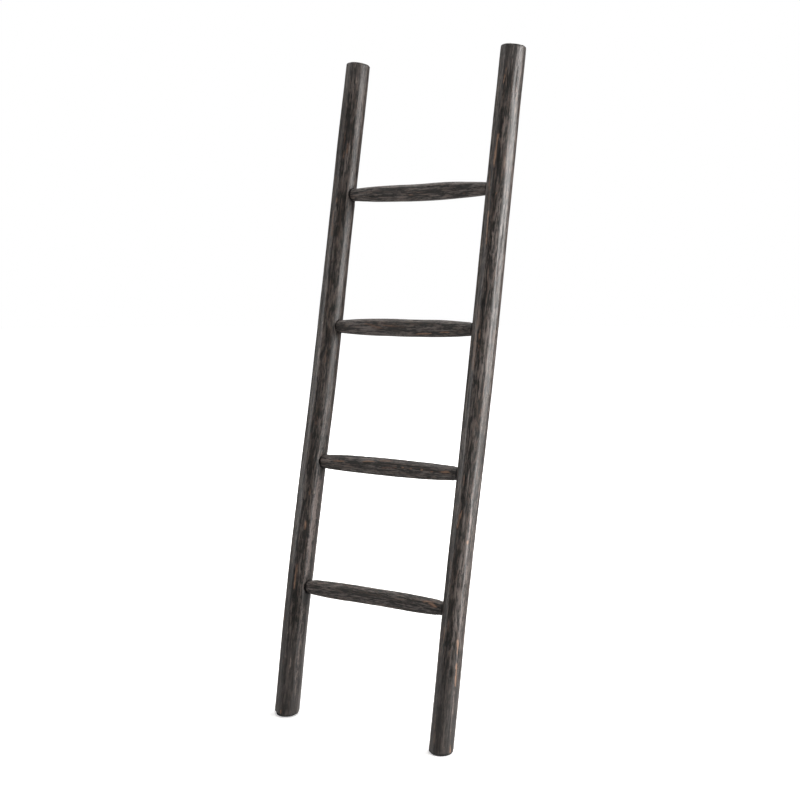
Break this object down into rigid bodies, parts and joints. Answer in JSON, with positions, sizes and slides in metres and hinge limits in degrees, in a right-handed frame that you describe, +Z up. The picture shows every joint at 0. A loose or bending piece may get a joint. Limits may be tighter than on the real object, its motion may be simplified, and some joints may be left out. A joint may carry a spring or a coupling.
{
  "type": "blanket ladder",
  "caption": "Leaning rustic blanket ladder of hewn dark-stained wood: two bowed round rails joined by cigar-shaped rungs, feet cut level with the floor.",
  "frame": {"origin": "on the floor, under the middle of the leaning ladder's bounding box, midway between the rails", "axes": "+Z up, -Y to the front, +Y towards the wall that the tops lean on, +X to the ladder's right seen from the front"},
  "size_m": [0.4623, 0.3861, 1.4993],
  "materials": {
    "rail_wood": "charcoal stain, distressed and waxed, satin",
    "rung_wood": "charcoal stain, distressed and waxed, satin",
    "foot_pad": "matt black",
    "brad_steel": "dull, slightly darkened"
  },
  "bodies": {
    "root": {"left_rail": "rail_wood", "right_rail": "rail_wood", "rung_1": "rung_wood", "rung_2": "rung_wood", "rung_3": "rung_wood", "rung_4": "rung_wood", "left_foot_pad": "foot_pad", "right_foot_pad": "foot_pad", "joint_brads": "brad_steel"}
  },
  "joints": []
}
